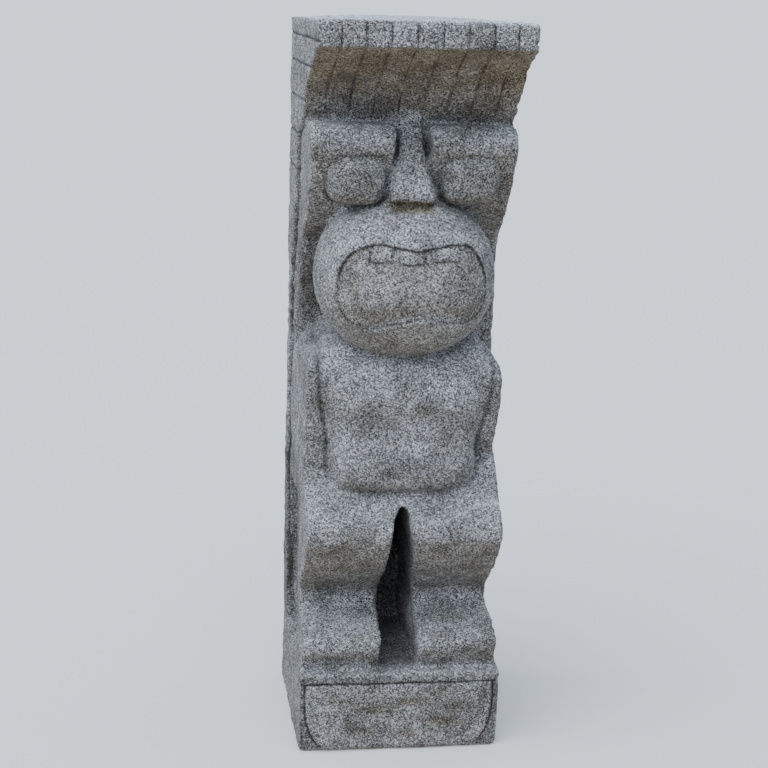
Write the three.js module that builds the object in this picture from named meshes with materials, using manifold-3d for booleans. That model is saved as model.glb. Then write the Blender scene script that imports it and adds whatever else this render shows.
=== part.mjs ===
// A tiki statue carved from one block of grey volcanic stone: a figure with a big round muzzle
// stands on a base block, in front of a back board that flares out into a heavy cornice.
// Millimetres, +Z up. The figure looks along -Y, and the origin is the centre of the underside.
import * as THREE from 'three';
import { mergeVertices } from 'three/addons/utils/BufferGeometryUtils.js';
import Module from 'manifold-3d';

// The block
const height = 1000;
const baseWidth = 281;
const baseDepth = 285;
const baseHeight = 114;
const boardWidth = 276;
const boardThickness = 60;
const rimDepth = 377;
const rimHeight = 30;
const sawnEdge = 5; // rounding of the block's own edges
const carvedEdge = 9; // rounding of the figure's edges

// Sawn lines and carving depths
const kerfWidth = 2.6;
const kerfDepth = 3;
const rimKerfs = 8;
const rimKerfSpacing = 31.5;
const rimKerfStart = 27; // from the board's left side to the first line
const scoreSpacing = 47;
const scoreSlope = 0.04; // fall of a side line towards the front
const sideStep = 4; // how far the figure's sides stand back from the board's sides
const legHollow = 13; // depth of the hollow behind the outside of each leg
const mouthDepth = 5;
const cornerDepth = 4; // of the two sunk corners on the base's front
const footing = 5; // how far the legs run down into the base
const baseCover = 15; // how far cuts between the legs run on, inside the base
const tolerance = 0.02; // shorter edges are closed up when solids are joined

const wasm = await Module();
wasm.setup();

// The figure fills the block in front of the board, so its forms are shares: across, of half the
// board's width; out, of the base's depth, from the flat back; up, from base to cornice.
const backY = baseDepth / 2;
const rimBottom = height - rimHeight;
const across = (share) => share * boardWidth / 2;
const out = (share) => backY - share * baseDepth;
const up = (share) => baseHeight + share * (rimBottom - baseHeight);
const slabY = backY - boardThickness;
const point = ([outShare, upShare]) => new THREE.Vector2(out(outShare), up(upShare));

// A closed mesh as a solid that can be cut and joined.
function toSolid(geometry) {
  const bare = geometry.clone();
  bare.deleteAttribute('normal');
  bare.deleteAttribute('uv');
  const merged = mergeVertices(bare, 1e-3);
  const vertProperties = new Float32Array(merged.getAttribute('position').array);
  const triVerts = new Uint32Array(merged.getIndex().array);
  return new wasm.Manifold(new wasm.Mesh({ numProp: 3, vertProperties, triVerts, tolerance }));
}

// An outline in the Y-Z plane, carried along X from one side to the other.
const sideways = new THREE.Matrix4().makeBasis(
  new THREE.Vector3(0, 1, 0), new THREE.Vector3(0, 0, 1), new THREE.Vector3(1, 0, 0));

function fromSide(outline, fromX, toX, edge, curveSegments = 4) {
  const geometry = new THREE.ExtrudeGeometry(outline, {
    depth: toX - fromX - 2 * edge,
    bevelEnabled: edge > 0,
    bevelThickness: edge,
    bevelSize: edge,
    bevelOffset: -edge,
    bevelSegments: 2,
    curveSegments,
  });
  geometry.translate(0, 0, fromX + edge);
  return toSolid(geometry.applyMatrix4(sideways));
}

// An outline in the X-Z plane, carried back along Y from the front to the back.
function fromFront(outline, frontY, rearY, curveSegments = 8) {
  const settings = { depth: rearY - frontY, bevelEnabled: false, curveSegments };
  const geometry = new THREE.ExtrudeGeometry(outline, settings);
  geometry.rotateX(Math.PI / 2).translate(0, rearY, 0);
  return toSolid(geometry);
}

function block(fromX, toX, frontY, rearY, bottom, top) {
  const geometry = new THREE.BoxGeometry(toX - fromX, rearY - frontY, top - bottom);
  geometry.translate((fromX + toX) / 2, (frontY + rearY) / 2, (bottom + top) / 2);
  return toSolid(geometry);
}

// Raising the coordinates of a round to 2 / squareness pushes it towards a square.
const squared = (value, squareness) => Math.sign(value) * Math.abs(value) ** (2 / squareness);

// A ball with three radii, rounder or squarer.
function ball(centre, radii, squareness, segments) {
  const geometry = new THREE.SphereGeometry(1, segments, Math.round(segments * 0.6));
  geometry.rotateX(Math.PI / 2);
  const position = geometry.getAttribute('position');
  for (let i = 0; i < position.count; i += 1) {
    position.setXYZ(
      i,
      centre.x + radii.x * squared(position.getX(i), squareness),
      centre.y + radii.y * squared(position.getY(i), squareness),
      centre.z + radii.z * squared(position.getZ(i), squareness),
    );
  }
  return toSolid(geometry);
}

// An upright form whose half width and front follow stations of [across, out, up].
function upright(stations, rearY, squareness, sides, rows) {
  const line = new THREE.CatmullRomCurve3(
    stations.map(([w, d, h]) => new THREE.Vector3(across(w), out(d), up(h))));
  const geometry = new THREE.CylinderGeometry(1, 1, 1, sides, rows);
  geometry.rotateX(Math.PI / 2);
  const position = geometry.getAttribute('position');
  for (let i = 0; i < position.count; i += 1) {
    const station = line.getPoint(position.getZ(i) + 0.5);
    const middleY = (rearY + station.y) / 2;
    const halfDepth = (rearY - station.y) / 2;
    position.setXYZ(
      i,
      station.x * squared(position.getX(i), squareness),
      middleY + halfDepth * squared(position.getY(i), squareness),
      station.z,
    );
  }
  return toSolid(geometry);
}

const mirrored = (solid) => solid.mirror([1, 0, 0]);
const both = (solid) => solid.add(mirrored(solid));

// The board's outline seen from its side: a flat back, the flat top, the upright rim, then the
// hollow sweep under it that runs down into the plain board. Inset moves the face inwards.
const sweep = [
  [1.02, 0.96], [0.885, 0.934], [0.765, 0.905], [0.665, 0.879],
  [0.55, 0.85], [0.44, 0.8], [0.371, 0.743], [0.26, 0.63],
];

function boardOutline(inset) {
  const rimFront = backY - rimDepth + inset;
  const outline = new THREE.Shape();
  outline.moveTo(backY, baseHeight - footing * 2);
  outline.lineTo(slabY + inset, baseHeight - footing * 2);
  outline.lineTo(slabY + inset, up(0.55));
  const hollow = sweep.map(point).reverse();
  hollow.forEach((p) => p.set(p.x + inset, p.y + inset / 2));
  outline.splineThru([...hollow, new THREE.Vector2(rimFront + sawnEdge, rimBottom + inset)]);
  outline.lineTo(rimFront, rimBottom + sawnEdge * 0.6);
  outline.lineTo(rimFront, height - sawnEdge - inset);
  outline.lineTo(rimFront + sawnEdge, height - inset);
  outline.lineTo(backY, height - inset);
  outline.closePath();
  return outline;
}

function makeBoard() {
  const half = boardWidth / 2;
  const core = fromSide(boardOutline(kerfDepth), -half, half, 0);
  let board = fromSide(boardOutline(0), -half, half, sawnEdge);
  for (let i = 0; i < rimKerfs; i += 1) {
    const x = -half + rimKerfStart + i * rimKerfSpacing;
    const cut = block(x, x + kerfWidth, backY - rimDepth - 1, backY, up(0.9), height + 1);
    board = board.subtract(cut.subtract(core));
  }
  const scores = Math.floor((rimBottom - up(0.75)) / scoreSpacing);
  for (let i = 0; i <= scores; i += 1) {
    const z = rimBottom - i * scoreSpacing;
    const line = new THREE.Shape();
    line.moveTo(backY + 1, z + scoreSlope * rimDepth);
    line.lineTo(backY - rimDepth - 1, z);
    line.lineTo(backY - rimDepth - 1, z + kerfWidth);
    line.lineTo(backY + 1, z + kerfWidth + scoreSlope * rimDepth);
    line.closePath();
    const cut = fromSide(line, half - kerfDepth, half + 1, 0);
    board = board.subtract(both(cut));
  }
  return board;
}

// The base: a block whose front has one sawn line and two rounded, sunk corners.
function makeBase() {
  const half = baseWidth / 2;
  const outline = new THREE.Shape();
  outline.moveTo(backY, 0);
  outline.lineTo(-backY + sawnEdge, 0);
  outline.lineTo(-backY, sawnEdge);
  outline.lineTo(-backY, baseHeight - sawnEdge);
  outline.lineTo(-backY + sawnEdge, baseHeight);
  outline.lineTo(backY, baseHeight);
  outline.closePath();
  const lineZ = baseHeight * 0.86;
  let base = fromSide(outline, -half, half, 0);
  base = base.subtract(block(-half - 1, half + 1, -backY - 1, -backY + kerfDepth, lineZ, lineZ + kerfWidth));
  const corner = new THREE.Shape();
  const arcSide = half * 0.93;
  const arcWidth = baseHeight * 0.26;
  const arcReach = baseHeight * 0.6;
  corner.moveTo(half + 1, -1);
  corner.lineTo(half + 1, lineZ);
  corner.lineTo(arcSide, lineZ);
  corner.lineTo(arcSide, arcReach);
  corner.absellipse(arcSide - arcWidth, arcReach, arcWidth, arcReach + 1, 0, -Math.PI / 2, true, 0);
  corner.closePath();
  const sunk = fromFront(corner, -backY - 1, -backY + cornerDepth, 6);
  return base.subtract(both(sunk));
}

// Brow and eye block on one side: flat top, upright lip, sloping eye face, then the flank wall
// beside the muzzle, which stands further out on the right side than on the left.
function makeBrow(side, flank) {
  const outline = new THREE.Shape();
  outline.moveTo(out(0.2), up(0.879));
  outline.lineTo(out(0.93), up(0.883));
  outline.quadraticCurveTo(out(0.985), up(0.88), out(0.99), up(0.86));
  outline.lineTo(out(0.99), up(0.838));
  outline.lineTo(out(0.94), up(0.828));
  outline.splineThru([[0.9, 0.798], [0.82, 0.769], [0.72, 0.733], [0.61, 0.708], ...flank].map(point));
  outline.lineTo(out(flank.at(-1)[0]), up(0.49));
  outline.lineTo(out(0.2), up(0.49));
  outline.closePath();
  return fromSide(outline, across(0.168), side, carvedEdge * 0.6, 2);
}

function makeNose() {
  const stations = [[0.2, 0.97, 0.7], [0.285, 1.0, 0.768], [0.2, 0.97, 0.8], [0.14, 0.9, 0.845], [0.15, 0.76, 0.885]];
  const form = upright(stations, out(0.5), 3, 20, 14);
  const below = block(across(-1), across(1), out(1.5), backY, 0, up(0.764));
  return form.subtract(below);
}

// Muzzle: a big ball. The mouth is sunk inside its outline, and three square teeth hang in it.
function makeMuzzle() {
  const centre = new THREE.Vector3(0, out(0.745), up(0.641));
  const radii = new THREE.Vector3(across(0.885), baseDepth * 0.42, across(0.8));
  const muzzle = ball(centre, radii, 2.2, 36);
  const inner = ball(centre, radii.clone().subScalar(mouthDepth), 2.2, 36);
  const mouth = new THREE.Shape();
  const at = (x, z) => new THREE.Vector2(across(x), up(z));
  mouth.moveTo(across(-0.69), up(0.63));
  mouth.splineThru([
    at(-0.6, 0.675), at(-0.35, 0.697), at(0, 0.69), at(0.35, 0.698), at(0.62, 0.685), at(0.73, 0.64),
    at(0.68, 0.59), at(0.4, 0.58), at(0, 0.588), at(-0.4, 0.578), at(-0.64, 0.592), at(-0.69, 0.63),
  ]);
  let opening = fromFront(mouth, out(1.5), out(0.745), 2);
  for (const [left, right] of [[-0.36, -0.17], [-0.04, 0.2], [0.28, 0.58]]) {
    opening = opening.subtract(block(across(left), across(right), out(1.6), backY, up(0.674), up(0.72)));
  }
  return muzzle.subtract(opening.subtract(inner));
}

function makeEye() {
  const centre = new THREE.Vector3(across(0.56), out(0.85), up(0.795));
  const radii = new THREE.Vector3(across(0.285), baseDepth * 0.17, up(0.0385) - up(0));
  return ball(centre, radii, 3.2, 20);
}

function makeTorso() {
  const stations = [
    [0.66, 0.74, 0.272], [0.76, 0.91, 0.3], [0.79, 0.955, 0.337], [0.79, 0.935, 0.377], [0.81, 0.92, 0.406],
    [0.845, 0.955, 0.451], [0.85, 0.91, 0.5], [0.81, 0.78, 0.532], [0.7, 0.6, 0.55],
  ];
  return upright(stations, out(0.1), 5, 32, 16);
}

// Arm seen from the side: round shoulder, straight inner line, slimmer wrist.
function makeArm() {
  const outline = new THREE.Shape();
  outline.moveTo(out(0.1), up(0.32));
  outline.lineTo(out(0.1), up(0.522));
  outline.lineTo(out(0.4), up(0.522));
  outline.splineThru([
    [0.62, 0.512], [0.79, 0.492], [0.875, 0.466], [0.87, 0.43], [0.81, 0.385], [0.72, 0.345], [0.68, 0.32],
  ].map(point));
  outline.closePath();
  const arm = fromSide(outline, across(0.72), boardWidth / 2 - sideStep, carvedEdge, 2);
  const corner = new THREE.Shape();
  corner.moveTo(across(1.1), up(0.46));
  corner.lineTo(across(1.1), up(0.55));
  corner.lineTo(across(0.72), up(0.55));
  corner.lineTo(across(0.8), up(0.522));
  corner.absellipse(across(0.8), up(0.46), across(0.2), up(0.522) - up(0.46), Math.PI / 2, 0, true, 0);
  corner.closePath();
  return arm.subtract(fromFront(corner, out(1.2), slabY, 5));
}

function makeHand() {
  const outline = new THREE.Shape();
  outline.moveTo(out(0.1), up(0.29));
  outline.splineThru([[0.22, 0.258], [0.5, 0.262], [0.76, 0.285], [0.81, 0.31], [0.74, 0.345]].map(point));
  outline.lineTo(out(0.1), up(0.35));
  outline.closePath();
  return fromSide(outline, across(0.86), boardWidth / 2 - sideStep / 2, carvedEdge * 0.6, 2);
}

// Both legs in one: thigh sloping out to the knee, shin falling back, foot stepping out again.
function makeLegs() {
  const outline = new THREE.Shape();
  outline.moveTo(out(0.1), up(0) - footing);
  outline.lineTo(out(0.1), up(0.37));
  outline.lineTo(out(0.5), up(0.37));
  outline.splineThru([
    [0.7, 0.345], [0.83, 0.305], [0.97, 0.266], [1.04, 0.238], [1.01, 0.21], [0.9, 0.174], [0.77, 0.132],
    [0.68, 0.096], [0.7, 0.08], [0.82, 0.069], [0.95, 0.058], [0.985, 0.043], [0.94, 0.008],
  ].map(point));
  outline.lineTo(out(0.93), up(0) - footing);
  outline.closePath();
  let legs = fromSide(outline, across(-0.99), across(0.99), carvedEdge, 2);
  const slot = new THREE.Shape();
  const at = (x, z) => new THREE.Vector2(across(x), up(z));
  slot.moveTo(across(0.205), up(0) - baseCover);
  slot.lineTo(across(0.205), up(0));
  slot.splineThru([
    at(0.19, 0.045), at(0.22, 0.09), at(0.166, 0.136), at(0.13, 0.19), at(0.075, 0.242), at(0.05, 0.268),
    at(0, 0.276), at(-0.056, 0.266), at(-0.105, 0.235), at(-0.115, 0.19), at(-0.143, 0.13),
    at(-0.15, 0.085), at(-0.195, 0.045), at(-0.2, 0),
  ]);
  slot.lineTo(across(-0.2), up(0) - baseCover);
  slot.closePath();
  legs = legs.subtract(fromFront(slot, out(1.2), slabY, 2));
  const hollow = block(across(0.99) - legHollow, across(1.1), out(0.66), slabY, up(0) - baseCover, up(0.3));
  return legs.subtract(both(hollow));
}

// The plain stone that is left behind the nose and the muzzle, and behind the trunk and arms.
function makeCore() {
  const behindFace = block(across(-0.3), across(0.3), out(0.65), slabY + sawnEdge, up(0.5), up(0.87));
  const behindTrunk = block(across(-0.85), across(0.85), out(0.45), slabY + sawnEdge, up(0.3), up(0.53));
  return behindFace.add(behindTrunk);
}

function makeStatue() {
  const rightBrow = makeBrow(across(1.02), [[0.56, 0.685], [0.55, 0.62]]);
  const leftBrow = mirrored(makeBrow(boardWidth / 2 - sideStep / 2, [[0.54, 0.66], [0.42, 0.61], [0.34, 0.57]]));
  let figure = rightBrow.add(leftBrow);
  const pieces = [
    makeCore(), both(makeEye()), makeNose(), makeTorso(), both(makeArm()), both(makeHand()), makeLegs(),
    makeMuzzle(), makeBase(), makeBoard(),
  ];
  for (const piece of pieces) {
    figure = figure.add(piece);
  }
  return figure;
}

function toMesh(solid, name, material) {
  const { vertProperties, triVerts } = solid.getMesh();
  const geometry = new THREE.BufferGeometry();
  geometry.setAttribute('position', new THREE.BufferAttribute(vertProperties, 3));
  geometry.setIndex(new THREE.BufferAttribute(triVerts, 1));
  geometry.computeVertexNormals();
  const mesh = new THREE.Mesh(geometry, material);
  mesh.name = name;
  return mesh;
}

const stone = new THREE.MeshStandardMaterial({
  name: 'volcanic_stone', color: 0x74767a, roughness: 0.95, metalness: 0,
});

const statue = new THREE.Group();
statue.name = 'statue';
statue.add(toMesh(makeStatue(), 'tiki_statue', stone));

export default statue;
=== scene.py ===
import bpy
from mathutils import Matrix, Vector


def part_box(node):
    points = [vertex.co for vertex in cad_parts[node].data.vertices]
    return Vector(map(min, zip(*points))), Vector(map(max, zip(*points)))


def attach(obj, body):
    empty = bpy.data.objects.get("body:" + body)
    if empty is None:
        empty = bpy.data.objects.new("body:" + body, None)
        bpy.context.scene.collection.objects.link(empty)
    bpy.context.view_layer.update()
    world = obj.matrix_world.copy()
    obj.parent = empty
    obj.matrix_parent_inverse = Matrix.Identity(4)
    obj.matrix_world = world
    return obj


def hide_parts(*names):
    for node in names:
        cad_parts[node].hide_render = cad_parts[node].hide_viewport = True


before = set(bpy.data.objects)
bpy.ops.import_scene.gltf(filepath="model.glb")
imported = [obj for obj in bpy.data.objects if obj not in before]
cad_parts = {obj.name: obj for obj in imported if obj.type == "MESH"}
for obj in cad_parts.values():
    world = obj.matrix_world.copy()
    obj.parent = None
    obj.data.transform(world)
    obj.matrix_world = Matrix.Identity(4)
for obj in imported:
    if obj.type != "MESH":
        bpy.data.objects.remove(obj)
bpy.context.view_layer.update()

import math

import bpy
import numpy as np
from mathutils import Matrix, Vector

# A tiki statue, one block of grey volcanic stone about a metre tall. Its forms are skins worked
# out from two parameters each, joined and worn into one surface, then carved by a depth in
# millimetres at every point. Lengths are in millimetres, and the meshes in metres. Left and right
# are as seen from the front.
mm = 0.001
low, high = (np.array(corner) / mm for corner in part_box("tiki_statue"))
block = {
    "height": high[2],
    "backY": high[1],
    "rimFrontY": low[1],
    "baseWidth": high[0] - low[0],
    "baseHeight": 114,
    "boardWidth": 276,
    "boardThickness": 60,
    "rimHeight": 34,       # as worn, a little more than the solid's
}
baseDepth = 2 * block["backY"]
rimBottom = block["height"] - block["rimHeight"]
halfBoard = block["boardWidth"] / 2
halfBase = block["baseWidth"] / 2
slabY = block["backY"] - block["boardThickness"]


# The figure's own units: across is a share of half the board, out of the base's depth in front of
# the flat back, and up of the height between base and cornice.
def across(share):
    return np.asarray(share) * halfBoard


def out(share):
    return block["backY"] - np.asarray(share) * baseDepth


def up(share):
    return block["baseHeight"] + np.asarray(share) * (rimBottom - block["baseHeight"])


# Smooth line through (place, value) pairs: between two pairs the value is a cubic whose slope at
# each pair is the mean of its neighbours' slopes. A plain number stays what it is.
def through(pairs, at):
    if np.ndim(pairs) == 0:
        return np.full(np.shape(at), float(pairs))
    knots, values = np.array(pairs, float).T
    slopes = np.gradient(values, knots)
    i = np.clip(np.searchsorted(knots, at, side="right") - 1, 0, len(knots) - 2)
    step = knots[i + 1] - knots[i]
    t = np.clip((at - knots[i]) / step, 0, 1)
    rise = (3 - 2 * t) * t * t
    return (values[i] * (1 - rise) + values[i + 1] * rise
            + step * t * (1 - t) * (slopes[i] * (1 - t) - slopes[i + 1] * t))


# Smooth curve through points in order: 0.5 (2b + (c-a)t + (2a-5b+4c-d)t² + (3b-a-3c+d)t³).
def curveThrough(points, count):
    p = np.asarray(points, float)
    p = np.vstack([2 * p[0] - p[1], p, 2 * p[-1] - p[-2]])
    s = np.linspace(0, len(points) - 1, count)
    i = np.minimum(s.astype(int), len(points) - 2)
    t = (s - i)[:, None]
    a, b, c, d = p[i], p[i + 1], p[i + 2], p[i + 3]
    return 0.5 * (2 * b + (c - a) * t + (2 * a - 5 * b + 4 * c - d) * t**2
                  + (3 * b - a - 3 * c + d) * t**3)


# 0 below start, 1 above end, and 3t²-2t³ between them.
def ramp(value, start, end):
    t = np.clip((value - start) / (end - start), 0, 1)
    return t * t * (3 - 2 * t)


# 0 outside, 1 between the two middle values, with a ramp on each side.
def between(value, start, full, fading, end):
    return ramp(value, start, full) * (1 - ramp(value, fading, end))


skins = []  # (points, faces) of each closed form, in millimetres


# A closed skin from a grid of rows by columns: the columns run round, counter-clockwise as seen
# from the last row, and one face closes each end.
def addSkin(grid):
    rows, columns = grid.shape[:2]
    corner = np.arange(rows * columns).reshape(rows, columns)
    ahead = np.roll(corner, -1, axis=1)
    quads = np.stack([corner[:-1], ahead[:-1], ahead[1:], corner[1:]], axis=-1).reshape(-1, 4)
    faces = quads.tolist() + [corner[0, ::-1].tolist(), corner[-1].tolist()]
    skins.append((grid.reshape(-1, 3), faces))


# A pillar: at each height a rectangle with round corners, so the parameters are the height and
# the way round. Left, right and front are numbers or (height, place) pairs, and the rear is wider
# than the front by the flare on each side.
def pillar(bottom, top, left, right, front, rear, radius=(6, 6), rows=70, arc=7, flare=0):
    height = np.linspace(bottom, top, rows)
    wider = through(flare, height)[:, None]
    x0 = through(left, height)[:, None]
    x1 = through(right, height)[:, None]
    y0 = through(front, height)[:, None]
    y1 = np.full_like(y0, rear)
    turn = np.linspace(0, math.pi / 2, arc)
    near, far = radius
    parts = []
    # quarter of the turn, radius, and the sides that meet in the corner
    quarters = ((2, near, x0, y0), (3, far, x1, y0), (0, 4, x1, y1), (1, 4, x0, y1))
    for quarter, r, sideX, sideY in quarters:
        angle = turn + quarter * math.pi / 2
        inX = np.where(sideX is x0, r, -r)
        inY = np.where(sideY is y0, r, -r)
        spread = np.where(sideY is y1, np.where(sideX is x0, -wider, wider), 0)
        parts.append(np.stack([sideX + inX + spread + r * np.cos(angle),
                               sideY + inY + r * np.sin(angle)], axis=-1))
    ring = np.concatenate(parts, axis=1)
    z = np.broadcast_to(height[:, None, None], ring.shape[:2] + (1,))
    addSkin(np.concatenate([ring, z], axis=-1))


# (height, place) pairs in millimetres from pairs in the figure's units.
def pairsOf(pairs, place):
    return [(float(up(h)), float(place(v))) for h, v in pairs]


# The same pillar on both sides of the figure: left and right change places with their signs turned.
def bothSides(bottom, top, inner, outer, front, rear, radius=(6, 6), **more):
    flip = (lambda v: [(h, -p) for h, p in v] if np.ndim(v) else -v)
    pillar(bottom, top, inner, outer, front, rear, radius, **more)
    pillar(bottom, top, flip(outer), flip(inner), front, rear, radius[::-1], **more)


# A ball with three radii, made squarer: each coordinate of a unit ball is raised to 2 / squareness.
def squareBall(centre, radii, squareness, rows=60, columns=96):
    lift = np.linspace(-math.pi / 2 + 0.01, math.pi / 2 - 0.01, rows)[:, None]
    turn = np.linspace(0, 2 * math.pi, columns, endpoint=False)[None, :]
    ball = np.stack([np.cos(lift) * np.cos(turn), np.cos(lift) * np.sin(turn),
                     np.sin(lift) + 0 * turn], axis=-1)
    ball = np.sign(ball) * np.abs(ball) ** (2 / squareness)
    addSkin(np.array(centre) + np.array(radii) * ball)


# An upright form: (half width, front, height) stations joined by a smooth curve, and at each
# height a squarish round from the rear to the front.
def upright(stations, rear, squareness, rows=110, columns=96, lean=0):
    line = curveThrough([(float(across(w)), float(out(d)), float(up(h))) for w, d, h in stations], rows)
    half, front, height = line.T[:, :, None]
    turn = np.linspace(0, 2 * math.pi, columns, endpoint=False)[None, :]
    c, s = np.cos(turn), np.sin(turn)
    c = np.sign(c) * np.abs(c) ** (2 / squareness)
    s = np.sign(s) * np.abs(s) ** (2 / squareness)
    x = half * c + lean
    y = (rear + front) / 2 + (rear - front) / 2 * s
    addSkin(np.stack([x, y, height + 0 * x], axis=-1))


# Board: the side profile carried from left to right. The hollow sweep under the rim is a little
# deeper at the left end than at the right, and the top is slightly crowned.
board = {
    "sweepLeft": [(0.3, 0.14), (0.52, 0.2), (0.63, 0.26), (0.743, 0.371), (0.8, 0.44), (0.85, 0.56),
                  (0.88, 0.65), (0.91, 0.72), (0.937, 0.83), (0.961, 0.99), (0.98, 1.14), (1.0, 1.31)],
    "sweepRight": [(0.3, 0.14), (0.52, 0.2), (0.63, 0.26), (0.743, 0.38), (0.8, 0.52), (0.85, 0.72),
                   (0.886, 0.85), (0.914, 0.94), (0.938, 1.01), (0.962, 1.08), (0.986, 1.2),
                   (1.0, 1.31)],
    "crown": 5.0,
    "stations": 25,
}


def makeBoard():
    rimY = block["rimFrontY"]
    x = np.linspace(-halfBoard, halfBoard, board["stations"])[:, None]
    share = (x + halfBoard) / block["boardWidth"]
    height = np.linspace(0.3, 1.0, 80)
    sweep = (through(board["sweepLeft"], height)[None, :] * (1 - share)
             + through(board["sweepRight"], height)[None, :] * share)
    drop = board["crown"] * (x / halfBoard) ** 2
    flat = 0 * x
    y = np.hstack([flat + block["backY"], flat + slabY, out(sweep), flat + rimY, flat + rimY,
                   flat + block["backY"]])
    z = np.hstack([flat + up(-0.02), flat + up(-0.02), up(height)[None, :] + 0 * x, flat + rimBottom,
                   flat + block["height"] - 0.4 * drop, block["height"] - drop])
    grid = np.stack([x + 0 * y, y, z], axis=-1)
    addSkin(grid[:, ::-1])


# Base block: an upright box.
def makeBase():
    pillar(0, block["baseHeight"], -halfBase, halfBase, -block["backY"], block["backY"], (2, 2),
           rows=8, arc=3)


# Brow and eye blocks: flat top, upright lip, eye face that slopes back, then the flank wall, which
# stands further out on the right side than on the left.
brow = {
    "front": [(0.48, 0.54), (0.62, 0.555), (0.685, 0.57), (0.708, 0.62), (0.733, 0.72), (0.769, 0.82),
              (0.798, 0.895), (0.822, 0.935), (0.834, 0.965), (0.846, 0.985), (0.86, 0.985),
              (0.871, 0.955), (0.88, 0.9)],
    "leftWall": [(0.48, 0.28), (0.57, 0.33), (0.61, 0.42), (0.66, 0.53), (0.69, 0.565), (0.708, 0.62),
                 (0.733, 0.72), (0.769, 0.82), (0.798, 0.895), (0.822, 0.935), (0.834, 0.965),
                 (0.846, 0.985), (0.86, 0.985), (0.871, 0.955), (0.88, 0.9)],
    "inner": 0.168,
    "leftEye": -0.52,
    "rightEye": 0.572,
    "eyeHeight": 0.795,
    "eyeDepth": 0.835,
    "eyeRadii": (39.5, 45, 33),
    "eyeSquareness": 3.2,
}


def makeBrows():
    top = float(up(0.88))
    bottom = float(up(0.49))
    front = pairsOf(brow["front"], out)
    wall = pairsOf(brow["leftWall"], out)
    inner = float(across(brow["inner"]))
    pillar(bottom, top, inner, float(across(1.0)) + 1.5, front, float(out(0.2)), (5, 6), rows=140)
    pillar(bottom, top, 3 - halfBoard, -inner, wall, float(out(0.2)), (12, 5), rows=140)
    for side in (brow["leftEye"], brow["rightEye"]):
        centre = (across(side), out(brow["eyeDepth"]), up(brow["eyeHeight"]))
        squareBall(centre, brow["eyeRadii"], brow["eyeSquareness"])


# Nose: a flat front plane that widens downwards, sides that slope out to the face, cut off flat
# above the muzzle.
nose = {
    "bottom": 0.764,
    "top": 0.91,
    "rear": 0.72,
    "plane": [(0.764, 0.208), (0.775, 0.206), (0.8, 0.17), (0.845, 0.125), (0.91, 0.14)],
    "front": [(0.764, 0.985), (0.77, 0.997), (0.778, 0.997), (0.8, 0.972), (0.845, 0.9), (0.87, 0.84),
              (0.89, 0.8), (0.91, 0.78)],
    "flare": [(0.764, 30), (0.785, 22), (0.81, 8), (0.845, 0), (0.91, 0)],
    "sideCut": [(21, 0.878), (21, 0.85), (25, 0.815), (33, 0.79), (43, 0.776)],
}


def makeNose():
    right = pairsOf(nose["plane"], across)
    left = [(h, -x) for h, x in right]
    flare = [(float(up(h)), w) for h, w in nose["flare"]]
    pillar(float(up(nose["bottom"])), float(up(nose["top"])), left, right,
           pairsOf(nose["front"], out), float(out(nose["rear"])), (8, 8), rows=60, flare=flare)


# Muzzle: a big ball, a little squarish.
muzzle = {
    "centre": (0.0, 0.745, 0.643),
    "radii": (121.5, 119.5, 110),
    "squareness": 2.2,
}


def makeMuzzle():
    x, y, z = muzzle["centre"]
    squareBall((across(x), out(y), up(z)), muzzle["radii"], muzzle["squareness"], 110, 160)


# Trunk: an upright form with a core behind it, and a bridge that fills in behind the muzzle and nose.
trunk = {
    "stations": [(0.66, 0.74, 0.272), (0.72, 0.905, 0.3), (0.745, 0.955, 0.337), (0.75, 0.94, 0.377),
                 (0.785, 0.933, 0.408), (0.835, 0.955, 0.452), (0.85, 0.915, 0.5), (0.81, 0.79, 0.532),
                 (0.7, 0.6, 0.55)],
    "coreShare": 0.85,     # of half the board
    "bridgeShare": 0.3,
    "bridge": [(0.5, 0.65), (0.77, 0.68), (0.82, 0.8), (0.85, 0.82), (0.87, 0.79), (0.89, 0.7)],
    "lean": 2.5,           # mm to the right
    "squareness": 5.5,
}


def makeTrunk():
    upright(trunk["stations"], float(out(0.1)), trunk["squareness"], lean=trunk["lean"])
    core, bridge = trunk["coreShare"] * halfBoard, trunk["bridgeShare"] * halfBoard
    rear = slabY + 10
    pillar(float(up(0.3)), float(up(0.53)), -core, core, float(out(0.45)), rear, rows=4)
    pillar(float(up(0.5)), float(up(0.89)), -bridge, bridge, pairsOf(trunk["bridge"], out), rear,
           rows=50)


# Arms hang beside the trunk, with round shoulders and slimmer wrists, and end in mitten hands.
arm = {
    "front": [(0.31, 0.66), (0.348, 0.735), (0.388, 0.81), (0.425, 0.855), (0.461, 0.89), (0.491, 0.89),
              (0.506, 0.84), (0.516, 0.74), (0.524, 0.56)],
    "leftFront": [(0.31, 0.77), (0.348, 0.8), (0.388, 0.83), (0.425, 0.86), (0.461, 0.89),
                  (0.491, 0.89), (0.506, 0.84), (0.516, 0.74), (0.524, 0.56)],
    "outer": [(0.31, 0.97), (0.42, 0.973), (0.48, 0.973), (0.495, 0.963), (0.506, 0.94), (0.516, 0.9),
              (0.524, 0.81)],
    "handFront": [(0.258, 0.45), (0.264, 0.6), (0.275, 0.72), (0.29, 0.785), (0.312, 0.81),
                  (0.335, 0.77), (0.35, 0.7)],
}


def makeArms():
    outer = pairsOf(arm["outer"], across)
    inner = float(across(0.7))
    left = [(h, -x) for h, x in outer]
    bottom, top, rear = float(up(0.31)), float(up(0.524)), float(out(0.1))
    pillar(bottom, top, inner, outer, pairsOf(arm["front"], out), rear, (3, 8), rows=90)
    pillar(bottom, top, left, -inner, pairsOf(arm["leftFront"], out), rear, (8, 3), rows=90)
    bothSides(float(up(0.258)), float(up(0.35)), float(across(0.84)), halfBoard - 2,
              pairsOf(arm["handFront"], out), rear, (3, 8), rows=40)


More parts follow.
